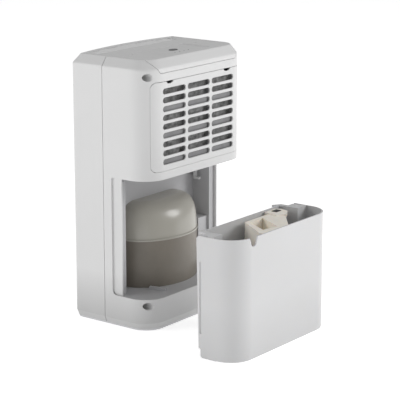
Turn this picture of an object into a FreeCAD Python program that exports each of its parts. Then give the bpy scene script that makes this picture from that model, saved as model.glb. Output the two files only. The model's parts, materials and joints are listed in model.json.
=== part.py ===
import FreeCAD, Part
import math
import os

# A compact dehumidifier with its water tank drawn out and standing behind it.
# Millimetres, +Z up, origin in the middle of the flat underside. +Y is the rear (grille and tank side).

os.makedirs("parts", exist_ok=True)
V = FreeCAD.Vector
X_AXIS, Y_AXIS, Z_AXIS = V(1, 0, 0), V(0, 1, 0), V(0, 0, 1)

# Casing
HEIGHT = 450.0
WIDTH = 266.0
REAR_Y = 80.0
FRONT_Y = -84.0
FRONT_BOW = 12.0
REAR_RADIUS = 40.0
FRONT_RADIUS = 10.0
WALL = 2.5
TOP_INSET, TOP_CHAMFER = 12.0, 15.0
BASE_INSET, BASE_CHAMFER = 5.0, 13.0
SEAM_Y = -16.0
SEAM_GAP = 1.0
PAN_TOP = 4.0
HALF = WIDTH / 2
WELL_R = 6.4
FAR = 400.0

# Tank bay
BAY_FLOOR, BAY_TOP, BAY_CEILING = 54.0, 253.5, 258.0
BAY_HALF = 114.0
BAY_LOW_R, BAY_HIGH_R = 8.0, 3.0
BAY_BACK_Y = -21.0
RECESS_Y = 1.0
POST_Y = 15.0
POST_TOP = 246.0
LIP_Y = 20.0
LINER = 2.0
LIP_OUT = HALF - 3.2
LIP_IN = LIP_OUT - WALL

# Compressor cover
COVER_Y = -14.0
COVER_RX, COVER_RY = 85.0, 61.0
COVER_RIM, COVER_TOP = 134.6, 196.0

# Tank, drawn in its seated plan position with its bottom at z = 0
TANK_HEIGHT = 198.0
TANK_FRONT_Y = -7.0
TANK_INNER_HALF = 107.0
TANK_SHOULDER_Y = 28.0
TANK_STEP_Z = 150.0
TANK_LOW_Y = 12.0
WING_Y = RECESS_Y + 0.7
WING_BASE = 16.0
WING_TUCK = 8.0
TUNNEL = (54.5, 77.5, 61.0, 4.0)
NOTCH_X = 88.5
REST_SHIFT = V(41.0, 205.5, 0)
MOUTH_SHIFT = V(0, 90.0, BAY_FLOOR + 0.6)

# Inlet grille and filter
GRILLE_HALF = 118.0
GRILLE_BASE, GRILLE_TOP = 267.0, 414.5
SLOT_ROWS, SLOT_PITCH, SLOT_FIRST_Z = 9, 14.5, 398.0
SLOT_W, SLOT_H, SLOT_COLUMN = 59.5, 9.4, 65.0
FILTER_BARS = (2, 5, 8)

# Top
APRON_HALF, APRON_BASE, APRON_TOP_HALF = 101.0, 427.8, 114.0
COVER_FRONT_Y = -42.0
TOP_RECESS = 1.2
PANEL_HALF, PANEL_Y0, PANEL_Y1 = 62.0, -2.0, 56.0
LOUVRE_HALF, LOUVRE_INSET, LOUVRE_BACK_Y = 106.0, 17.0, -46.0
BUTTON_X, BUTTON_Y, BUTTON_RX, BUTTON_RY = 0.0, 26.0, 9.0, 6.0

# Air path
FAN_Y, FAN_Z, FAN_R, FAN_WIDTH = -44.0, 344.0, 66.0, 34.0
COIL_HALF, COIL_Z0, COIL_Z1 = 92.0, 282.0, 424.0
EVAPORATOR_Y, CONDENSER_Y, COIL_DEPTH = 36.0, 8.0, 20.0
FIN_PITCH, TUBE_R, TUBE_ROWS, BEND_REACH = 6.0, 3.5, 6, 7.0

# Float, in the tank's own frame
PIVOT = V(-52.0, 0, 186.0)
FLOAT_PIN_R = 2.0
FIT = 0.06


def box(x0, x1, y0, y1, z0, z1):
    return Part.makeBox(x1 - x0, y1 - y0, z1 - z0, V(x0, y0, z0))


def rod(radius, start, direction, length):
    return Part.makeCylinder(radius, length, start, direction)


def fused(shapes):
    shape = shapes[0].fuse(list(shapes[1:])) if len(shapes) > 1 else shapes[0]
    return shape.removeSplitter()


def mirrored(shape):
    return shape.mirror(V(0, 0, 0), X_AXIS)


def both_sides(shape):
    return [shape, mirrored(shape)]


def quarter(cx, cy, radius, start_degrees, z):
    """A quarter arc in plan, anticlockwise from start_degrees."""
    at = [
        V(cx + radius * math.cos(math.radians(a)), cy + radius * math.sin(math.radians(a)), z)
        for a in (start_degrees, start_degrees + 45, start_degrees + 90)
    ]
    return Part.Arc(*at).toShape()


def outline(inset, z):
    """The casing's plan, pulled in by inset: flat rear with large corners, bowed front."""
    half, rear, front = HALF - inset, REAR_Y - inset, FRONT_Y + inset
    rear_r = REAR_RADIUS - inset
    front_r = max(FRONT_RADIUS - inset, 3.0)
    bow = V(0, front - FRONT_BOW, z)
    edges = [
        quarter(half - rear_r, rear - rear_r, rear_r, 0, z),
        Part.makeLine(V(half - rear_r, rear, z), V(-half + rear_r, rear, z)),
        quarter(-half + rear_r, rear - rear_r, rear_r, 90, z),
        Part.makeLine(V(-half, rear - rear_r, z), V(-half, front + front_r, z)),
        quarter(-half + front_r, front + front_r, front_r, 180, z),
        Part.Arc(V(-half + front_r, front, z), bow, V(half - front_r, front, z)).toShape(),
        quarter(half - front_r, front + front_r, front_r, 270, z),
        Part.makeLine(V(half, front + front_r, z), V(half, rear - rear_r, z)),
    ]
    return Part.Wire(edges)


def prism(inset, z0, z1):
    return Part.Face(outline(inset, z0)).extrude(V(0, 0, z1 - z0))


def hull(inset):
    """The casing's whole volume with its chamfered top and bottom edges."""
    levels = [
        (BASE_INSET, inset),
        (0, BASE_CHAMFER),
        (0, HEIGHT - TOP_CHAMFER),
        (TOP_INSET, HEIGHT - inset),
    ]
    return Part.makeLoft([outline(extra + inset, z) for extra, z in levels], True, True)


def rounded_plate(x0, x1, z0, z1, y0, y1, radius):
    """A block along Y whose X-Z outline has rounded corners."""
    plate = box(x0, x1, y0, y1, z0, z1)
    upright = [e for e in plate.Edges if abs(e.tangentAt(e.FirstParameter).y) > 0.9]
    return plate.makeFillet(radius, upright)


def ellipse_prism(rx, ry, z0, z1):
    ring = Part.Ellipse(V(0, COVER_Y, z0), rx, ry).toShape()
    return Part.Face(Part.Wire([ring])).extrude(V(0, 0, z1 - z0))


def dome(grow):
    """The compressor cover's domed volume: ellipses that shrink towards a flat, wide crown."""
    profile = [
        (0, 1.0, 1.0), (0.3, 0.995, 0.985), (0.6, 0.97, 0.93), (0.82, 0.90, 0.80),
        (0.95, 0.77, 0.60), (1.0, 0.64, 0.42),
    ]
    rise = COVER_TOP - COVER_RIM + grow
    rings = []
    for height, share_x, share_y in profile:
        at = V(0, COVER_Y, COVER_RIM + rise * height)
        ring = Part.Ellipse(at, (COVER_RX + grow) * share_x, (COVER_RY + grow) * share_y)
        rings.append(Part.Wire([ring.toShape()]))
    return Part.makeLoft(rings, True, False)


def level_edges(shape, z):
    """The edges that lie in the level plane at z."""
    return [e for e in shape.Edges if abs(e.BoundBox.ZMin - z) < 0.2 and abs(e.BoundBox.ZMax - z) < 0.2]


# ---- casing ----


def top_cover_volume(gap):
    """The region of the casing's skin that the top cover takes, less a gap on each free edge."""
    corners = [
        V(-APRON_HALF + gap, REAR_Y - 50, APRON_BASE + gap),
        V(APRON_HALF - gap, REAR_Y - 50, APRON_BASE + gap),
        V(APRON_TOP_HALF - gap, REAR_Y - 50, HEIGHT - WALL),
        V(APRON_TOP_HALF - gap, REAR_Y - 50, HEIGHT + 1),
        V(-APRON_TOP_HALF + gap, REAR_Y - 50, HEIGHT + 1),
        V(-APRON_TOP_HALF + gap, REAR_Y - 50, HEIGHT - WALL),
    ]
    apron = Part.Face(Part.makePolygon(corners + corners[:1])).extrude(V(0, 60, 0))
    plate = box(
        -APRON_TOP_HALF + gap, APRON_TOP_HALF - gap,
        COVER_FRONT_Y + gap, REAR_Y - 45, HEIGHT - WALL, HEIGHT + 1,
    )
    return fused([apron, plate])


def screw_positions():
    return [(side * x, z) for x, z in ((120.0, 423.0), (121.0, 43.0)) for side in (1, -1)]


def screw_wells(radius, y0, y1):
    return [rod(radius, V(x, y0, z), Y_AXIS, y1 - y0) for x, z in screw_positions()]


def casing_skin():
    outer = hull(0)
    outer = outer.makeFillet(6.0, level_edges(outer, HEIGHT - TOP_CHAMFER))
    outer = outer.makeFillet(2.0, level_edges(outer, HEIGHT))
    return outer.cut(hull(WALL)).cut(box(-FAR, FAR, -FAR, FAR, -1, PAN_TOP))


def front_edge(shape, z):
    """The level edges at z on the shape's frontmost plane."""
    return [e for e in level_edges(shape, z) if abs(e.BoundBox.YMax - shape.BoundBox.YMin) < 0.01]


def front_casing(skin):
    half = skin.common(box(-FAR, FAR, -FAR, SEAM_Y - SEAM_GAP / 2, 0, FAR * 2))
    opening = louvre_region(0, HEIGHT - 10, HEIGHT + 1)
    sunk = prism(TOP_INSET + 4, HEIGHT - TOP_RECESS, HEIGHT + 1)
    sunk = sunk.common(box(-FAR, FAR, -FAR, COVER_FRONT_Y, 0, FAR * 2))
    return half.cut([opening, sunk, top_cover_volume(0)])


def rear_casing(skin):
    half = skin.common(box(-FAR, FAR, SEAM_Y + SEAM_GAP / 2, FAR, 0, FAR * 2))
    tongue = hull(WALL).cut(hull(WALL + 1.5))
    tongue = tongue.common(box(-FAR, FAR, SEAM_Y - 6, SEAM_Y + 8, PAN_TOP, HEIGHT - 20))
    wells = [w.common(hull(0)) for w in screw_wells(WELL_R + 1.8, 34, REAR_Y)]
    grille = grille_region(0)
    bay = box(-FAR, FAR, RECESS_Y, FAR, BAY_FLOOR, BAY_TOP)
    bay = bay.makeFillet(BAY_LOW_R, front_edge(bay, BAY_FLOOR))
    bay = bay.makeFillet(BAY_HIGH_R, front_edge(bay, BAY_TOP))
    low, high, inside = BAY_FLOOR - 4, BAY_TOP + 4, HALF - WALL + 0.3
    lips = both_sides(
        fused([
            box(LIP_IN, inside, RECESS_Y - 6, RECESS_Y, low, high),
            box(LIP_IN, LIP_OUT, RECESS_Y - 1, LIP_Y, low, high),
            box(LIP_IN, inside, RECESS_Y - 1, LIP_Y, low, BAY_FLOOR - 0.2),
            box(LIP_IN, inside, RECESS_Y - 1, LIP_Y, BAY_TOP + 0.2, high),
        ])
    )
    body = fused([half, tongue] + wells).cut([grille, bay, top_cover_volume(0)])
    body = fused([body] + lips)
    return body.cut(screw_wells(WELL_R, 40, FAR) + screw_wells(2.2, 30, FAR))


def casing_screws():
    """Four pan-head screws at the bottom of their wells."""
    screws = []
    for x, z in screw_positions():
        head = rod(5.2, V(x, 40, z), Y_AXIS, 2.6)
        shank = rod(1.9, V(x, 24, z), Y_AXIS, 16)
        cross = [box(x - 2.4, x + 2.4, 41.6, 43, z - 0.5, z + 0.5)]
        cross.append(box(x - 0.5, x + 0.5, 41.6, 43, z - 2.4, z + 2.4))
        screws.append(fused([head, shank]).cut(cross))
    return Part.makeCompound(screws)


def top_cover(skin):
    """The lid plate with the apron that folds over the rear edge, and the control panel's window."""
    cover = skin.common(top_cover_volume(0.7))
    window = box(-PANEL_HALF, PANEL_HALF, PANEL_Y0, PANEL_Y1, HEIGHT - 5, HEIGHT + 1)
    slots = both_sides(box(80, 90, 4.5, 7.5, HEIGHT - 1, HEIGHT + 1))
    cover = cover.cut([window] + slots)
    ridge = [e for e in level_edges(cover, HEIGHT) if e.BoundBox.YMax < COVER_FRONT_Y + 2]
    return cover.makeFillet(2.0, ridge)


def base_pan():
    pan = hull(0).common(box(-FAR, FAR, -FAR, FAR, 0, PAN_TOP - 0.2))
    pads = [rod(9.2, V(x, y, -1), Z_AXIS, 2.5) for x, y in foot_positions()]
    return pan.cut(pads)


def foot_positions():
    return [(x, y) for x in (-105, 105) for y in (-68, 52)]


def rubber_feet():
    return Part.makeCompound([rod(9.0, V(x, y, 0), Z_AXIS, 1.5) for x, y in foot_positions()])


# ---- top ----


def louvre_region(gap, z0, z1):
    """The outlet's plan: its front follows the casing's bow, its back edge is straight."""
    reach = LOUVRE_HALF - gap
    return prism(LOUVRE_INSET + gap, z0, z1).common(box(-reach, reach, -FAR, LOUVRE_BACK_Y - gap, z0, z1))


def outlet_louvre():
    """The air outlet in the top: a frame with slats that lean forward."""
    z0, z1 = HEIGHT - 9, HEIGHT - TOP_RECESS - 0.6
    rim = louvre_region(0.4, z0, z1).cut(louvre_region(3.0, z0 - 1, z1 + 1))
    front = FRONT_Y + LOUVRE_INSET - FRONT_BOW + 5
    slats = []
    for i in range(6):
        slat = box(-LOUVRE_HALF, LOUVRE_HALF, -0.8, 0.8, 0, 7)
        slat.rotate(V(0, 0, 0), X_AXIS, 20)
        slat.translate(V(0, front + 4.6 * i, z0 + 0.6))
        slats.append(slat.common(louvre_region(2.0, z0, z1)))
    ribs = [box(x - 0.8, x + 0.8, -FAR, -45, z0, HEIGHT - 5) for x in (-70, -35, 0, 35, 70)]
    ribs = [rib.common(louvre_region(2.0, z0, z1)) for rib in ribs]
    return fused([rim] + slats + ribs)


def control_panel():
    gap = 0.3
    plate = box(
        -PANEL_HALF + gap, PANEL_HALF - gap, PANEL_Y0 + gap, PANEL_Y1 - gap, HEIGHT - 3, HEIGHT - 0.6
    )
    posts = [rod(2.5, V(x, y, HEIGHT - 11), Z_AXIS, 9) for x in (-56, 56) for y in (4, 50)]
    hole = oval(BUTTON_RX + 0.3, BUTTON_RY + 0.3, HEIGHT - 5, HEIGHT)
    lamps = [rod(1.3, V(x, 44, HEIGHT - 5), Z_AXIS, 6) for x in (-18, -6, 6, 18)]
    return fused([plate] + posts).cut([hole] + lamps)


def oval(rx, ry, z0, z1):
    ring = Part.Ellipse(V(BUTTON_X, BUTTON_Y, z0), rx, ry).toShape()
    return Part.Face(Part.Wire([ring])).extrude(V(0, 0, z1 - z0))


def power_button():
    cap = oval(BUTTON_RX, BUTTON_RY, HEIGHT - 4, HEIGHT + 0.2)
    stem = rod(2.0, V(BUTTON_X, BUTTON_Y, HEIGHT - 8), Z_AXIS, 5)
    return fused([cap, stem])


def indicator_lenses():
    lamps = [rod(1.25, V(x, 44, HEIGHT - 3), Z_AXIS, 2.5) for x in (-18, -6, 6, 18)]
    return Part.makeCompound(lamps)


def control_board():
    board = box(-58, 58, 0, 54, HEIGHT - 13, HEIGHT - 11.4)
    key = box(-3, 3, BUTTON_Y - 3, BUTTON_Y + 3, HEIGHT - 11.4, HEIGHT - 9.2)
    relay = box(26, 44, 8, 20, HEIGHT - 11.4, HEIGHT - 4)
    chip = box(-40, -28, 14, 26, HEIGHT - 11.4, HEIGHT - 9.4)
    return fused([board, key, relay, chip])


# ---- inlet grille and filter ----


def grille_region(gap):
    """The opening in the rear face that the grille fills, less gap on each side."""
    top_gap = gap * 1.6
    region = rounded_plate(
        -GRILLE_HALF + gap, GRILLE_HALF - gap, GRILLE_BASE + gap, GRILLE_TOP - top_gap,
        REAR_Y - 30, REAR_Y + 5, 10,
    )
    return region


def slot(x, z):
    """One air slot: a long hole with round ends."""
    reach = SLOT_W / 2 - SLOT_H / 2
    y0, y1 = REAR_Y - 12, REAR_Y + 3
    middle = box(x - reach, x + reach, y0, y1, z - SLOT_H / 2, z + SLOT_H / 2)
    ends = [rod(SLOT_H / 2, V(x + side * reach, y0, z), Y_AXIS, y1 - y0) for side in (-1, 1)]
    return fused([middle] + ends)


def finger_notch(x):
    """A flat half-moon in the grille's top edge."""
    ring = Part.Ellipse(V(0, 0, 0), 9.0, 4.2).toShape()
    ring.rotate(V(0, 0, 0), X_AXIS, 90)
    ring.translate(V(x, REAR_Y + 3, GRILLE_TOP - 0.8))
    return Part.Face(Part.Wire([ring])).extrude(V(0, -20, 0))


def slot_height(row):
    return SLOT_FIRST_Z - row * SLOT_PITCH


def inlet_grille(skin):
    panel = skin.common(grille_region(0.5))
    pads = [
        box(side * 104 - 3, side * 104 + 3, REAR_Y - 9.5, REAR_Y - WALL - 0.2, z - 6, z + 6)
        for side in (-1, 1)
        for z in (290, 384)
    ]
    panel = fused([panel] + [pad.common(hull(1)) for pad in pads])
    slots = [
        slot(column * SLOT_COLUMN, slot_height(row))
        for column in (-1, 0, 1)
        for row in range(SLOT_ROWS)
    ]
    notches = [finger_notch(side * 77) for side in (-1, 1)]
    panel = panel.cut(slots + notches)
    rims = [
        e for e in panel.Edges
        if min(e.BoundBox.YMin, e.BoundBox.ZMin - 195) > REAR_Y - 0.01 and e.BoundBox.ZMax < 405
    ]
    return panel.makeFillet(0.8, rims)


def filter_frame():
    """The filter's carrier: a rim with bars behind every third row of slots."""
    y0, y1 = REAR_Y - 9.0, REAR_Y - 4.5
    rim = box(-99, 99, y0, y1, 271, 408).cut(box(-94, 94, y0 - 1, y1 + 1, 275, 405))
    bars = [
        box(-96, 96, y0, y1, slot_height(row) - 6, slot_height(row) + 6)
        for row in FILTER_BARS
    ]
    uprights = [box(x - 2, x + 2, y0, y1, 273, 406) for x in (-SLOT_COLUMN / 2, SLOT_COLUMN / 2)]
    return fused([rim] + bars + uprights)


def filter_mesh():
    return box(-98, 98, REAR_Y - 10.0, REAR_Y - 9.1, 272, 407)


# ---- tank bay and compressor ----


def tank_bay():
    """The liner: back wall, side walls with rear-facing posts, floor and ceiling."""
    low, high, back_y = BAY_FLOOR - LINER, BAY_CEILING + LINER, BAY_BACK_Y - LINER
    back = box(-BAY_HALF - LINER, BAY_HALF + LINER, back_y, BAY_BACK_Y, low, high)
    side = box(BAY_HALF, BAY_HALF + LINER, back_y, POST_Y, low, high)
    post = box(BAY_HALF, LIP_IN - 0.1, POST_Y - LINER, POST_Y, low, high)
    notch = box(BAY_HALF - 1, LIP_IN + 1, BAY_BACK_Y + 16, POST_Y + 1, POST_TOP, BAY_CEILING)
    uprights = both_sides(fused([side, post]).cut(notch))
    reach = box(-FAR, FAR, BAY_BACK_Y, FAR, 0, FAR)
    inner = prism(WALL + 0.2, low, high).common(reach)
    beside = both_sides(box(LIP_IN - 0.1, FAR, -FAR, LIP_Y + 0.1, 0, FAR))
    inner = inner.cut(beside)
    floor = inner.common(box(-FAR, FAR, -FAR, FAR, low, BAY_FLOOR))
    ceiling = inner.common(box(-FAR, FAR, -FAR, FAR, BAY_CEILING, high))
    guide = box(62.5, 69.5, 28, 58, BAY_FLOOR - 0.5, BAY_FLOOR + 4.0)
    guide.rotate(V(66, 40, 0), Z_AXIS, 14)
    liner = fused([back, floor, ceiling] + uprights)
    well = ellipse_prism(COVER_RX - 3, COVER_RY - 3, BAY_FLOOR - 10, COVER_TOP - 10)
    spout = rod(7.0, V(0, 44, BAY_CEILING - 5), Z_AXIS, 12)
    lever = box(-112, -102, -21, -1, BAY_CEILING - 5, BAY_CEILING + 5)
    box_hole = box(-112, -90, -30, -2, BAY_FLOOR - 5, 130)
    return liner.cut([well, spout, lever, box_hole]).fuse(guide)


def compressor_sleeve():
    outer = ellipse_prism(COVER_RX, COVER_RY, BAY_FLOOR + 0.1, COVER_RIM - 0.6)
    inner = ellipse_prism(COVER_RX - WALL, COVER_RY - WALL, BAY_FLOOR - 1, COVER_RIM + 1)
    clear = box(-FAR, FAR, BAY_BACK_Y + 0.1, FAR, 0, FAR)
    return outer.cut(inner).common(clear)


def compressor_dome():
    """The domed upper cover, with a bead round its rim that overhangs the sleeve."""
    clear = box(-FAR, FAR, BAY_BACK_Y + 0.1, FAR, 0, FAR)
    bead = ellipse_prism(COVER_RX + 1.6, COVER_RY + 1.6, COVER_RIM - 0.4, COVER_RIM + 2.2)
    below = ellipse_prism(COVER_RX - WALL, COVER_RY - WALL, COVER_RIM - 3, COVER_RIM + 0.1)
    return dome(0).fuse(bead).cut(dome(-WALL)).cut(below).common(clear)


def side_box():
    """The closed box beside the compressor cover that carries the pipes' electrical joint."""
    body = box(-BAY_HALF + 0.2, -88.5, BAY_BACK_Y + 0.1, 10.5, BAY_FLOOR + 0.1, 141)
    hollow = box(-BAY_HALF + 2.2, -90.5, BAY_BACK_Y - 1, 8.5, BAY_FLOOR - 1, 139)
    return body.cut(hollow)


def compressor():
    body = rod(46, V(0, COVER_Y, 18), Z_AXIS, 128)
    cap = Part.makeCone(46, 30, 16, V(0, COVER_Y, 146), Z_AXIS)
    plate = rod(66, V(0, COVER_Y, 15), Z_AXIS, 3).common(box(-66, 66, -70, 40, 0, 60))
    neck = rod(6, V(-20, COVER_Y, 160), Z_AXIS, 10)
    shell = fused([body, cap, plate, neck])
    holes = [rod(4.0, V(x, y, 10), Z_AXIS, 20) for x, y in grommet_positions()]
    return shell.cut(holes)


def grommet_positions():
    at = [(90, 56), (210, 56), (330, 56)]
    return [
        (r * math.cos(math.radians(a)), COVER_Y + r * math.sin(math.radians(a))) for a, r in at
    ]


def compressor_grommets():
    pieces = []
    for x, y in grommet_positions():
        seat = rod(9, V(x, y, PAN_TOP), Z_AXIS, 10.8)
        neck = rod(3.8, V(x, y, PAN_TOP), Z_AXIS, 16)
        pieces.append(fused([seat, neck]))
    return Part.makeCompound(pieces)


def terminal_cover():
    return box(-70, -48, -34, 6, 84, 124)


def bent_tube(points, radius, bend):
    """A round tube along straight runs joined by tangent arcs."""
    edges = []
    start = points[0]
    for before, corner, after in zip(points, points[1:], points[2:]):
        back = (before - corner).normalize()
        ahead = (after - corner).normalize()
        half = back.getAngle(ahead) / 2
        cut = bend / math.tan(half)
        middle = (back + ahead).normalize() * (bend / math.sin(half) - bend)
        edges.append(Part.makeLine(start, corner + back * cut))
        edges.append(Part.Arc(corner + back * cut, corner + middle, corner + ahead * cut).toShape())
        start = corner + ahead * cut
    edges.append(Part.makeLine(start, points[-1]))
    path = Part.Wire(edges)
    ring = Part.Wire([Part.Circle(points[0], points[1] - points[0], radius).toShape()])
    return path.makePipeShell([ring], True, False, 2)


def refrigerant_pipes():
    """Discharge and suction pipes from the compressor up to the two coils, clear of the bay."""
    pipes = []
    for side, top, y in ((1, 300, 18), (-1, 310, 46)):
        run = [(40, -62, 120), (40, -74, 120), (124, -74, 120)]
        run += [(124, -74, top), (124, y, top), (103.5, y, top)]
        pipes.append(bent_tube([V(side * px, py, pz) for px, py, pz in run], 3.0, 4.5))
    return Part.makeCompound(pipes)


def run_capacitor():
    can = rod(17, V(96, -50, PAN_TOP + 4), Z_AXIS, 62)
    tabs = [box(x - 0.4, x + 0.4, -53, -47, 69, 78) for x in (90, 102)]
    return fused([can] + tabs)


def capacitor_clip():
    ring = rod(18.6, V(96, -50, 30), Z_AXIS, 12).cut(rod(17.1, V(96, -50, 29), Z_AXIS, 14))
    foot = box(94, 98, -32.2, -28, PAN_TOP, 42)
    return ring.fuse(foot)


def cord_gland():
    """The bush where the supply cord would enter, low on the rear face."""
    flange = rod(9, V(-70, REAR_Y - WALL - 2, 28), Y_AXIS, 1.9)
    barrel = rod(6.9, V(-70, REAR_Y - WALL - 2, 28), Y_AXIS, WALL + 2)
    return fused([flange, barrel]).cut(rod(3.6, V(-70, REAR_Y - 20, 28), Y_AXIS, 40))


# ---- air path ----


def tube_heights():
    first, last = COIL_Z0 + 14, COIL_Z1 - 14
    return [first + i * (last - first) / (TUBE_ROWS - 1) for i in range(TUBE_ROWS)]


def coil(y0):
    """One finned heat exchanger: upright fins on horizontal tubes with bent ends."""
    fins = []
    count = int(2 * COIL_HALF / FIN_PITCH)
    middle = y0 + COIL_DEPTH / 2
    tube_z = tube_heights()
    for i in range(count + 1):
        x = -COIL_HALF + i * FIN_PITCH
        fins.append(box(x - 0.3, x + 0.3, y0, y0 + COIL_DEPTH, COIL_Z0, COIL_Z1))
    reach = COIL_HALF + BEND_REACH
    tubes = [rod(TUBE_R, V(-reach, middle, z), X_AXIS, 2 * reach) for z in tube_z]
    bends = []
    for i in range(TUBE_ROWS - 1):
        x = reach * (1 if i % 2 == 0 else -1)
        bends.append(rod(TUBE_R, V(x, middle, tube_z[i]), Z_AXIS, tube_z[i + 1] - tube_z[i]))
    pack = Part.makeCompound(fins).cut(tubes)
    return pack, fused(tubes + bends)


def coil_brackets():
    """Two end plates that hold both coils by their tubes' ends."""
    plate = box(COIL_HALF + 0.8, COIL_HALF + 2.4, 4, 60, COIL_Z0 - 2, COIL_Z1 + 2)
    holes = [
        rod(TUBE_R + 0.1, V(80, y + COIL_DEPTH / 2, z), X_AXIS, 30)
        for y in (EVAPORATOR_Y, CONDENSER_Y)
        for z in tube_heights()
    ]
    return Part.makeCompound(both_sides(plate.cut(holes)))


def drip_tray():
    tray = box(-100, 100, 2, 66, 262, 276).cut(box(-98, 98, 4, 64, 264, 280))
    spout = rod(5.5, V(0, 44, 256), Z_AXIS, 8).cut(rod(3.8, V(0, 44, 250), Z_AXIS, 20))
    return tray.cut(rod(3.8, V(0, 44, 250), Z_AXIS, 20)).fuse(spout)


def fan_impeller():
    """A centrifugal wheel: back disc, hub and curved blades between disc and ring."""
    front = FAN_Y - FAN_WIDTH / 2
    disc = rod(FAN_R, V(0, front, FAN_Z), Y_AXIS, 2)
    hub = rod(16, V(0, front, FAN_Z), Y_AXIS, 14)
    ring = rod(FAN_R, V(0, front + FAN_WIDTH - 2, FAN_Z), Y_AXIS, 2)
    ring = ring.cut(rod(FAN_R - 12, V(0, front, FAN_Z), Y_AXIS, FAN_WIDTH + 2))
    blades = []
    count = 28
    for i in range(count):
        blade = box(-0.8, 0.8, front + 1, front + FAN_WIDTH - 1, FAN_R - 14, FAN_R - 0.5)
        blade.rotate(V(0, 0, FAN_R - 7), Y_AXIS, 35)
        blade.translate(V(0, 0, FAN_Z))
        blade.rotate(V(0, 0, FAN_Z), Y_AXIS, 360.0 * i / count)
        blades.append(blade)
    rim = rod(FAN_R, V(0, front, FAN_Z), Y_AXIS, FAN_WIDTH)
    wheel = fused([disc, hub, ring] + [blade.common(rim) for blade in blades])
    return wheel.cut(rod(4.0, V(0, front - 1, FAN_Z), Y_AXIS, 20))


def motor_shaft():
    return rod(4.0, V(0, FAN_Y - FAN_WIDTH / 2 - 12, FAN_Z), Y_AXIS, 25.5)


def fan_motor():
    body = rod(30, V(0, -80.5, FAN_Z), Y_AXIS, 14)
    boss = rod(10, V(0, -66.5, FAN_Z), Y_AXIS, 1.5)
    return fused([body, boss]).cut(rod(4.0 + FIT, V(0, -75, FAN_Z), Y_AXIS, 20))


def fan_scroll():
    """The fan's housing: a round drum that opens upwards into a duct under the outlet."""
    y0, y1 = FAN_Y - FAN_WIDTH / 2 - 3.5, FAN_Y + FAN_WIDTH / 2 + 3
    drum = rod(FAN_R + 12, V(0, y0, FAN_Z), Y_AXIS, y1 - y0)
    duct = box(-94, 94, y0, y1, FAN_Z + 30, HEIGHT - 12)
    duct_in = box(-92, 92, y0 + 2, y1 - 2, FAN_Z + 32, HEIGHT)
    drum_in = rod(FAN_R + 10, V(0, y0 + 2, FAN_Z), Y_AXIS, y1 - y0 - 4)
    eye = rod(FAN_R - 12, V(0, y0 - 5, FAN_Z), Y_AXIS, y1 - y0 + 10)
    eye = eye.common(box(-FAR, FAR, FAN_Y, FAR, 0, FAR * 2))
    shaft_hole = rod(12, V(0, y0 - 5, FAN_Z), Y_AXIS, 12)
    return fused([drum, duct]).cut([duct_in, drum_in, eye, shaft_hole])


# ---- tank switch ----


def switch_lever():
    """The arm that hangs into the bay and is pushed forward by the seated tank."""
    arm = box(-110, -104, -12, -8, 206, 262)
    toe = box(-110, -104, -12, 0, 206, 210)
    hub = rod(4, V(-110, -10, 265), X_AXIS, 6)
    return fused([arm, toe, hub]).cut(rod(1.5 + FIT, V(-115, -10, 265), X_AXIS, 20))


def lever_pin():
    return rod(1.5, V(-114, -10, 265), X_AXIS, 14)


def micro_switch():
    body = box(-113, -103, -46, -20, 262, 278)
    foot = box(-113, -111.5, -20, -4, 261, 278).cut(rod(1.5, V(-115, -10, 265), X_AXIS, 20))
    return fused([body, foot])


def float_sensor():
    """The sensor behind the bay's back wall that the float's magnet works."""
    return box(-92, -72, BAY_BACK_Y - LINER - 7, BAY_BACK_Y - LINER - 0.2, 234, 252)


# ---- tank ----


def tank_solid(grow):
    """The tank's volume pulled in by grow: full-width outer part, narrower inner part above a step."""
    keep = box(-FAR, FAR, TANK_SHOULDER_Y + grow, FAR, -FAR, FAR)
    outer = prism(grow, grow, TANK_HEIGHT).common(keep)
    half = TANK_INNER_HALF - grow
    neck = TANK_SHOULDER_Y + grow + 1
    upper = box(-half, half, TANK_FRONT_Y + grow, neck, TANK_STEP_Z + grow, TANK_HEIGHT)
    lower = box(-half, half, TANK_LOW_Y + grow, neck, grow, TANK_STEP_Z + grow + 0.5)
    room = ellipse_prism(COVER_RX + 4.5 + grow, COVER_RY + 4.5 + grow, -5, TANK_STEP_Z + grow)
    x0, x1, y1, top = TUNNEL
    tunnel = box(x0 - grow, x1 + grow, -FAR, y1 + grow, -5, top + grow)
    return fused([outer, upper, lower]).cut([room, tunnel])


def tank_wing():
    """The side skin that reaches forward past the bay's edge, raked and tucked in near the bottom."""
    band = prism(0, 0, TANK_HEIGHT).cut(prism(WALL, -1, TANK_HEIGHT + 1))
    lean = [
        V(0, WING_Y + WING_TUCK + 3, 0), V(0, WING_Y + WING_TUCK, 3),
        V(0, WING_Y + WING_TUCK, WING_BASE - 2), V(0, WING_Y + 4.5, WING_BASE),
        V(0, WING_Y + 0.1, TANK_HEIGHT - 4), V(0, WING_Y + 4, TANK_HEIGHT),
        V(0, 40, TANK_HEIGHT), V(0, 40, 0),
    ]
    side = Part.Face(Part.makePolygon(lean + lean[:1])).extrude(V(FAR, 0, 0))
    ledge = prism(0, TANK_HEIGHT - 3, TANK_HEIGHT)
    ledge = ledge.common(box(TANK_INNER_HALF - 1, FAR, WING_Y + 4, TANK_SHOULDER_Y + 1, 0, FAR))
    ledge = ledge.cut(box(LIP_IN - 0.6, HALF - WALL, -FAR, LIP_Y + 0.8, 0, FAR))
    horn = [V(106, WING_Y + 5, 0), V(113, WING_Y + 5, 0), V(112.5, -8, 0), V(99, -17, 0), V(96, -16, 0)]
    horn = Part.Face(Part.makePolygon(horn + horn[:1])).extrude(V(0, 0, 3))
    return band.common(side).fuse([ledge, horn.translated(V(0, 0, TANK_HEIGHT - 3))])


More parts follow.
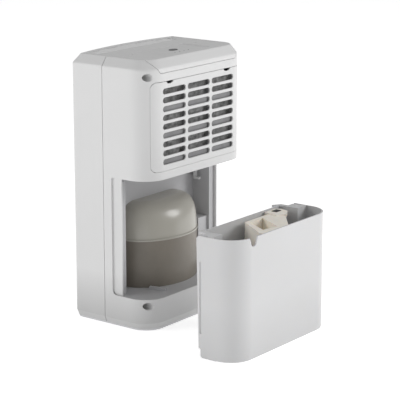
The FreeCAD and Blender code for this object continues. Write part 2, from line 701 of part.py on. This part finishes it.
def spout_notch():
    """The pouring notch in the outer wall: a U that opens upwards."""
    low = TANK_HEIGHT - 7.0
    throat = rod(7.5, V(NOTCH_X, REAR_Y - 8, low), Y_AXIS, 20)
    flare = [
        V(NOTCH_X - 7.4, REAR_Y - 8, low - 0.8), V(NOTCH_X + 7.4, REAR_Y - 8, low - 0.8),
        V(NOTCH_X + 11, REAR_Y - 8, TANK_HEIGHT + 1), V(NOTCH_X - 11, REAR_Y - 8, TANK_HEIGHT + 1),
    ]
    return throat.fuse(Part.Face(Part.makePolygon(flare + flare[:1])).extrude(V(0, 20, 0)))


def tank_shell():
    body = tank_solid(0).cut(tank_solid(WALL).fuse(tank_solid(WALL).translated(V(0, 0, 20))))
    body = body.makeFillet(2.0, [e for e in level_edges(body, 0) if e.BoundBox.YMax > REAR_Y - 41])
    groove = box(HALF - 1.4, HALF + 1, 8.0, 11.5, 40, 157)
    boss = rod(5, PIVOT + V(0, TANK_FRONT_Y + 1, 0), Y_AXIS, 4)
    shell = fused([body, boss] + both_sides(tank_wing()))
    hole = rod(FLOAT_PIN_R, PIVOT + V(0, TANK_FRONT_Y + 1.5, 0), Y_AXIS, 10)
    return shell.cut([spout_notch(), hole] + both_sides(groove))


def float_pin():
    return rod(FLOAT_PIN_R, PIVOT + V(0, TANK_FRONT_Y + 1.5, 0), Y_AXIS, 36)


def plan_prism(corners, z0, z1):
    points = [V(x, y, z0) for x, y in corners]
    return Part.Face(Part.makePolygon(points + points[:1])).extrude(V(0, 0, z1 - z0))


def tank_float():
    """The float box, open at the top, with the arm that carries the magnet past the pivot."""
    top = 195.0
    body = plan_prism([(12, 7), (54, 66), (50, 74), (-14, 74), (-60, 37), (-60, 7)], 166, top)
    hollow = plan_prism([(11, 16), (33, 58), (2, 64), (-28, 14)], 169, top + 1)
    under = box(-61, -44, -FAR, FAR, 160, 178)
    head = plan_prism([(-56, -2), (-83, -2), (-91, 7), (-87, 22), (-66, 33), (-50, 26)], 189, top + 1.5)
    pocket = box(-81.2, -66.8, 3.8, 14.2, 192, top + 2)
    bore = rod(FLOAT_PIN_R + FIT, PIVOT + V(0, -5, 0), Y_AXIS, 75)
    return fused([body, head]).cut([hollow, under, pocket, bore])


def float_magnet():
    return box(-81, -67, 4, 14, 192, 197.2)


def write(name, shape):
    if not shape.isValid():
        print("not valid:", name)
    shape.exportStep("parts/" + name + ".step")
    print(name, len(shape.Solids), round(shape.Volume / 1000, 1), "cm3")


def write_all():
    skin = casing_skin()
    evaporator_fins, evaporator_tubes = coil(EVAPORATOR_Y)
    condenser_fins, condenser_tubes = coil(CONDENSER_Y)
    gland_hole = rod(7.0, V(-70, REAR_Y - 20, 28), Y_AXIS, 40)
    main = {
        "front_casing": front_casing(skin),
        "rear_casing": rear_casing(skin).cut(gland_hole),
        "casing_screws": casing_screws(),
        "top_cover": top_cover(skin),
        "base_pan": base_pan(),
        "rubber_feet": rubber_feet(),
        "outlet_louvre": outlet_louvre(),
        "control_panel": control_panel(),
        "power_button": power_button(),
        "indicator_lenses": indicator_lenses(),
        "control_board": control_board(),
        "inlet_grille": inlet_grille(skin),
        "filter_frame": filter_frame(),
        "filter_mesh": filter_mesh(),
        "tank_bay": tank_bay(),
        "compressor_sleeve": compressor_sleeve(),
        "compressor_dome": compressor_dome(),
        "side_box": side_box(),
        "compressor": compressor(),
        "compressor_grommets": compressor_grommets(),
        "terminal_cover": terminal_cover(),
        "refrigerant_pipes": refrigerant_pipes(),
        "run_capacitor": run_capacitor(),
        "capacitor_clip": capacitor_clip(),
        "cord_gland": cord_gland(),
        "evaporator_fins": evaporator_fins,
        "evaporator_tubes": evaporator_tubes,
        "condenser_fins": condenser_fins,
        "condenser_tubes": condenser_tubes,
        "coil_brackets": coil_brackets(),
        "drip_tray": drip_tray(),
        "fan_impeller": fan_impeller(),
        "motor_shaft": motor_shaft(),
        "fan_motor": fan_motor(),
        "fan_scroll": fan_scroll(),
        "switch_lever": switch_lever(),
        "lever_pin": lever_pin(),
        "micro_switch": micro_switch(),
        "float_sensor": float_sensor(),
    }
    in_tank = {
        "tank_shell": tank_shell(),
        "tank_float": tank_float(),
        "float_pin": float_pin(),
        "float_magnet": float_magnet(),
    }
    for name, shape in main.items():
        write(name, shape)
    for name, shape in in_tank.items():
        write(name, shape.translated(REST_SHIFT))
    travel = MOUTH_SHIFT - REST_SHIFT
    print("tank travel", round(travel.Length, 3), "along", [round(c / travel.Length, 5) for c in travel])
    print("float pivot", PIVOT + REST_SHIFT)


write_all()
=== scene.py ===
import json
import math

import bmesh
import bpy
from mathutils import Matrix, Vector


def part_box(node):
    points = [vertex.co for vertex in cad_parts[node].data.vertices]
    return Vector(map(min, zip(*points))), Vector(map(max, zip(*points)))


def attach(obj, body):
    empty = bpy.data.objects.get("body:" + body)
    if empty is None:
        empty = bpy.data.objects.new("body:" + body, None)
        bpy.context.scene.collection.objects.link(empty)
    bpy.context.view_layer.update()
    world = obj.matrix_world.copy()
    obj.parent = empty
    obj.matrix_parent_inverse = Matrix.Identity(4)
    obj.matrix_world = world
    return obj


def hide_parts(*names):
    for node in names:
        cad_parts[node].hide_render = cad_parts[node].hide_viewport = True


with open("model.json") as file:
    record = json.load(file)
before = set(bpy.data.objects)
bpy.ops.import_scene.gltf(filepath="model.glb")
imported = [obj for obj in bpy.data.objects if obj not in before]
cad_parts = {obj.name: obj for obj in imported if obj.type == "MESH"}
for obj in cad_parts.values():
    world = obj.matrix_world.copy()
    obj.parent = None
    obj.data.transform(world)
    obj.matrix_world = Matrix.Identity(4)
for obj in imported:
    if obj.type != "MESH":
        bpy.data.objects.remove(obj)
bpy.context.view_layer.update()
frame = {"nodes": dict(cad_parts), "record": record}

# ---- camera, floor and light ----

CAMERA_PLACE = Vector((2.1495, 1.7193, 0.8681))
CAMERA_AZIMUTH, CAMERA_ELEVATION = 127.298, 13.856
LENS_MM, SENSOR_MM = 149.81, 36.0
VIEW_REACH = 200.0
FLOOR_HALF, FLOOR_DROP = 90.0, 0.0004
FLOOR_GLOW, WORLD_LIGHT = 0.56, 0.44
LIGHT_AIM = (0.0, 0.1, 0.2)
# Name, place, diameter and power of each light.
LIGHTS = (("right_box", (-1.75, 2.45, 1.5), 1.5, 40), ("left_box", (2.45, -1.75, 1.4), 1.5, 25))


def aim(azimuth, elevation):
    a, e = math.radians(azimuth), math.radians(elevation)
    back = Vector((math.sin(a) * math.cos(e), -math.cos(a) * math.cos(e), math.sin(e)))
    right = Vector((0, 0, 1)).cross(back).normalized()
    up = back.cross(right)
    return Matrix((right, up, back)).transposed()


def add_camera():
    """The camera at the photograph's angle."""
    data = bpy.data.cameras.new("camera")
    data.lens, data.sensor_width = LENS_MM, SENSOR_MM
    data.clip_end = VIEW_REACH
    camera = bpy.data.objects.new("camera", data)
    turn = aim(CAMERA_AZIMUTH, CAMERA_ELEVATION).to_4x4()
    camera.matrix_world = Matrix.Translation(CAMERA_PLACE) @ turn
    bpy.context.collection.objects.link(camera)
    bpy.context.scene.camera = camera


def add_area(name, place, size, power):
    """A soft disk light that looks at the middle of the scene."""
    data = bpy.data.lights.new(name, "AREA")
    data.shape, data.size, data.energy = "DISK", size, power
    light = bpy.data.objects.new(name, data)
    light.location = place
    light.rotation_euler = (Vector(LIGHT_AIM) - Vector(place)).to_track_quat("-Z", "Y").to_euler()
    bpy.context.collection.objects.link(light)


def add_stage():
    """A pale glowing floor, an even white world and the two soft lights."""
    mesh = bpy.data.meshes.new("floor")
    bm = bmesh.new()
    bmesh.ops.create_grid(bm, x_segments=1, y_segments=1, size=FLOOR_HALF)
    bm.to_mesh(mesh)
    bm.free()
    floor = bpy.data.objects.new("floor", mesh)
    floor.location.z = -FLOOR_DROP
    bpy.context.collection.objects.link(floor)
    paper = finish("floor_paper", (0.93, 0.93, 0.93), 0.9, mottle=0.01)
    shader = paper.node_tree.nodes["Principled BSDF"]
    shader.inputs["Emission Color"].default_value = (1, 1, 1, 1)
    shader.inputs["Emission Strength"].default_value = FLOOR_GLOW
    mesh.materials.append(paper)
    world = bpy.data.worlds.new("studio")
    bpy.context.scene.world = world
    world.use_nodes = True
    background = world.node_tree.nodes["Background"]
    background.inputs["Color"].default_value = (1, 1, 1, 1)
    background.inputs["Strength"].default_value = WORLD_LIGHT
    for light in LIGHTS:
        add_area(*light)
    view = bpy.context.scene.view_settings
    view.view_transform, view.look = "Standard", "None"


# ---- materials ----

# Height in metres below which the colour is darkened towards the floor as painted shade.
PAINTED_SHADE_TOP = 0.09
SLOW_SCALE, SLOW_STRENGTH, GRAIN_STRENGTH = 14.0, 0.6, 0.5
COAT_ROUGHNESS = 0.12
GLOW_RADIUS = (0.004, 0.003, 0.002)
PATCH_RATIO = 4.3


def noise(tree, scale, stretch, detail):
    """Procedural noise in object space, scaled per metre and stretched per axis."""
    coords = tree.nodes.new("ShaderNodeTexCoord")
    mapping = tree.nodes.new("ShaderNodeMapping")
    mapping.inputs["Scale"].default_value = stretch
    node = tree.nodes.new("ShaderNodeTexNoise")
    node.inputs["Scale"].default_value = scale
    node.inputs["Detail"].default_value = detail
    tree.links.new(coords.outputs["Object"], mapping.inputs["Vector"])
    tree.links.new(mapping.outputs["Vector"], node.inputs["Vector"])
    return node.outputs["Fac"]


def ramp(tree, source, low, high, start=0.3, end=0.7):
    """A colour ramp from low to high, each a colour or a grey."""
    node = tree.nodes.new("ShaderNodeValToRGB")
    for element, value, at in zip(node.color_ramp.elements, (low, high), (start, end)):
        element.position = at
        element.color = (*value, 1) if isinstance(value, tuple) else (value, value, value, 1)
    tree.links.new(source, node.inputs["Fac"])
    return node.outputs["Color"]


def painted_low_shade(tree, shade, low_shade_share):
    """Multiplies a colour by a grey that falls to the given share at floor level: painted shade low
    down.
    """
    coords = tree.nodes.new("ShaderNodeTexCoord")
    split = tree.nodes.new("ShaderNodeSeparateXYZ")
    mix = tree.nodes.new("ShaderNodeMix")
    mix.data_type, mix.blend_type = "RGBA", "MULTIPLY"
    mix.inputs["Factor"].default_value = 1.0
    tree.links.new(coords.outputs["Object"], split.inputs["Vector"])
    tree.links.new(shade, mix.inputs["A"])
    tree.links.new(ramp(tree, split.outputs["Z"], low_shade_share, 1.0, 0.0, PAINTED_SHADE_TOP), mix.inputs["B"])
    return mix.outputs["Result"]


def bumps(tree, shader, heights):
    """Stacks bump layers, each (texture output, strength, depth in metres)."""
    normal = None
    for source, strength, depth in heights:
        node = tree.nodes.new("ShaderNodeBump")
        node.inputs["Strength"].default_value = strength
        node.inputs["Distance"].default_value = depth
        tree.links.new(source, node.inputs["Height"])
        if normal:
            tree.links.new(normal, node.inputs["Normal"])
        normal = node.outputs["Normal"]
    tree.links.new(normal, shader.inputs["Normal"])


def finish(
    name, color, rough, mottle=0.03, mottle_scale=9.0, stretch=(1, 1, 1), grain=900.0,
    depth=0.00004, wave=0.0, metallic=0.0, coat=0.0, tint=None, glow=0.0, spread=0.06, low_shade_share=1.0,
):
    """A solid finish: mottled colour, uneven roughness, fine grain and a slow unevenness.

    spread is half the range of the roughness, glow the light that passes under the skin, and the
    last argument the share of the colour that is left at floor level by the painted shade low down.
    """
    material = bpy.data.materials.new(name)
    material.use_nodes = True
    tree = material.node_tree
    shader = tree.nodes["Principled BSDF"]
    dark = tuple(c * (1 - mottle) for c in color)
    light = tint or tuple(min(c * (1 + mottle), 1) for c in color)
    shade = ramp(tree, noise(tree, mottle_scale, stretch, 5.0), dark, light)
    # Painted shade: the colour is darkened towards the floor.
    if low_shade_share < 1:
        shade = painted_low_shade(tree, shade, low_shade_share)
    tree.links.new(shade, shader.inputs["Base Color"])
    patches = noise(tree, mottle_scale * PATCH_RATIO, stretch, 4.0)
    sheen = ramp(tree, patches, max(rough - spread, 0.02), min(rough + spread, 1))
    tree.links.new(sheen, shader.inputs["Roughness"])
    layers = [(noise(tree, grain, stretch, 2.0), GRAIN_STRENGTH, depth)]
    if wave:
        layers.append((noise(tree, SLOW_SCALE, (1, 1, 1), 1.0), SLOW_STRENGTH, wave))
    bumps(tree, shader, layers)
    shader.inputs["Metallic"].default_value = metallic
    shader.inputs["Coat Weight"].default_value = coat
    shader.inputs["Coat Roughness"].default_value = COAT_ROUGHNESS
    if glow:
        shader.inputs["Subsurface Weight"].default_value = glow
        shader.inputs["Subsurface Radius"].default_value = GLOW_RADIUS
    return material


FINISHES = {
    # The casing's colour falls to 0.62 at the floor: painted shade low down.
    "casing_white": dict(
        color=(0.68, 0.68, 0.68), low_shade_share=0.62, rough=0.42, mottle=0.012, depth=0.00003,
        wave=0.0002,
    ),
    # The tank's colour falls to 0.88 at the floor: painted shade low down.
    "tank_white": dict(
        color=(0.62, 0.62, 0.625), low_shade_share=0.88, rough=0.36, mottle=0.015, grain=500, wave=0.0004,
        glow=0.06,
    ),
    "bay_grey": dict(color=(0.49, 0.49, 0.50), rough=0.5, mottle=0.03, wave=0.0002),
    "cover_beige": dict(
        color=(0.40, 0.385, 0.34), rough=0.30, mottle=0.02, grain=700, depth=0.00002,
        coat=0.25, spread=0.02,
    ),
    "sleeve_beige": dict(
        color=(0.215, 0.193, 0.162), rough=0.42, mottle=0.10, mottle_scale=14, grain=400,
        wave=0.0009,
    ),
    "panel_grey": dict(color=(0.66, 0.66, 0.66), rough=0.34, mottle=0.02, grain=1400),
    "louvre_grey": dict(color=(0.68, 0.68, 0.68), rough=0.44, mottle=0.02),
    "button_dark": dict(color=(0.09, 0.09, 0.095), rough=0.38, mottle=0.1),
    "filter_grey": dict(color=(0.22, 0.22, 0.225), rough=0.5, mottle=0.14, mottle_scale=30),
    "mesh_grey": dict(color=(0.34, 0.34, 0.34), rough=0.6, mottle=0.6, mottle_scale=150),
    "float_cream": dict(
        color=(0.90, 0.85, 0.76), rough=0.42, mottle=0.04, mottle_scale=25, wave=0.0003,
        glow=0.22,
    ),
    "magnet_black": dict(color=(0.012, 0.012, 0.012), rough=0.45, mottle=0.3, grain=2500),
    "rubber_black": dict(
        color=(0.02, 0.02, 0.02), rough=0.75, mottle=0.2, grain=1500, depth=0.00008,
    ),
    "board_green": dict(color=(0.02, 0.12, 0.05), rough=0.35, mottle=0.25, mottle_scale=90),
    "compressor_black": dict(
        color=(0.012, 0.012, 0.013), rough=0.3, mottle=0.2, wave=0.0005, coat=0.3,
    ),
    "fin_aluminium": dict(
        color=(0.62, 0.63, 0.64), rough=0.38, mottle=0.10, mottle_scale=30, metallic=1.0,
        stretch=(1, 1, 0.2),
    ),
    "tube_copper": dict(
        color=(0.58, 0.28, 0.17), rough=0.32, mottle=0.25, mottle_scale=40, metallic=1.0,
        tint=(0.75, 0.42, 0.28),
    ),
    "steel_zinc": dict(
        color=(0.52, 0.52, 0.50), rough=0.34, mottle=0.12, mottle_scale=120, metallic=1.0,
    ),
    "inner_black": dict(color=(0.03, 0.03, 0.03), rough=0.5, mottle=0.15),
    "pan_grey": dict(color=(0.50, 0.50, 0.51), rough=0.5, mottle=0.04),
}


def lens_material():
    """A clear, faintly green plastic for the indicator lenses."""
    material = finish("lamp_clear", (0.75, 0.85, 0.80), 0.12, mottle=0.05, mottle_scale=200)
    shader = material.node_tree.nodes["Principled BSDF"]
    shader.inputs["Transmission Weight"].default_value = 0.85
    shader.inputs["IOR"].default_value = 1.49
    return material


materials = {name: finish(name, **facts) for name, facts in FINISHES.items()}
materials["lamp_clear"] = lens_material()
OTHER_FINISH = {"compressor_sleeve": "sleeve_beige"}
for part in frame["record"]["subparts"]:
    node = frame["nodes"][part["node"]]
    node.data.materials.clear()
    node.data.materials.append(materials[OTHER_FINISH.get(part["node"], part["material_slot"])])

# ---- softened edges ----

# The width of each node's edge, in metres.
SOFT_EDGES = {
    "rear_casing": 0.0004, "front_casing": 0.0004, "top_cover": 0.0003, "tank_shell": 0.0005,
    "tank_float": 0.0009, "tank_bay": 0.0008, "side_box": 0.0012, "switch_lever": 0.0006,
    "filter_frame": 0.0006, "control_panel": 0.0003, "outlet_louvre": 0.00025,
    "power_button": 0.0006, "float_magnet": 0.0005, "casing_screws": 0.0003,
    "compressor_dome": 0.0012, "cord_gland": 0.0005, "base_pan": 0.0006, "rubber_feet": 0.0005,
}
BEVEL_SEGMENTS, BEVEL_ANGLE = 2, 40


def soften(node, width):
    """Rounds a node's sharp edges with a narrow bevel, shaded smoothly into the flats beside it."""
    bevel = node.modifiers.new("soft_edges", "BEVEL")
    bevel.width = width
    bevel.segments = BEVEL_SEGMENTS
    bevel.limit_method = "ANGLE"
    bevel.angle_limit = math.radians(BEVEL_ANGLE)
    bevel.use_clamp_overlap = True
    bevel.harden_normals = True


for name, width in SOFT_EDGES.items():
    soften(frame["nodes"][name], width)

# ---- the filter's net ----

NET_HALF, NET_PITCH, NET_INSET = 0.00028, 0.0018, 0.0003


def strand(bm, start, end):
    """A square strand between two points."""
    across = Vector((0, 1, 0))
    corners = ((-1, -1), (1, -1), (1, 1), (-1, 1))
    along = (end - start).normalized()
    side = along.cross(across).normalized()
    ring = []
    for at in (start, end):
        ring.append([bm.verts.new(at + (across * a + side * b) * NET_HALF) for a, b in corners])
    for i in range(4):
        j = (i + 1) % 4
        bm.faces.new((ring[0][i], ring[0][j], ring[1][j], ring[1][i]))
    bm.faces.new(ring[0][::-1])
    bm.faces.new(ring[1])


def add_net():
    """The filter's net: woven strands in two directions inside the mesh plate's place."""
    (x0, y0, z0), (x1, y1, z1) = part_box("filter_mesh")
    bm = bmesh.new()
    columns = int((x1 - x0 - 2 * NET_HALF) / NET_PITCH)
    rows = int((z1 - z0 - 2 * NET_HALF) / NET_PITCH)
    for i in range(columns + 1):
        x, y = x0 + NET_HALF + i * NET_PITCH, y0 + NET_INSET
        strand(bm, Vector((x, y, z0)), Vector((x, y, z1)))
    for i in range(rows + 1):
        y, z = y1 - NET_INSET, z0 + NET_HALF + i * NET_PITCH
        strand(bm, Vector((x0, y, z)), Vector((x1, y, z)))
    bmesh.ops.recalc_face_normals(bm, faces=bm.faces)
    mesh = bpy.data.meshes.new("filter_net")
    bm.to_mesh(mesh)
    bm.free()
    net = bpy.data.objects.new("filter_net", mesh)
    bpy.context.collection.objects.link(net)
    mesh.materials.append(materials["mesh_grey"])
    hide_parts("filter_mesh")
    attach(net, "grille")


add_net()
add_stage()
add_camera()
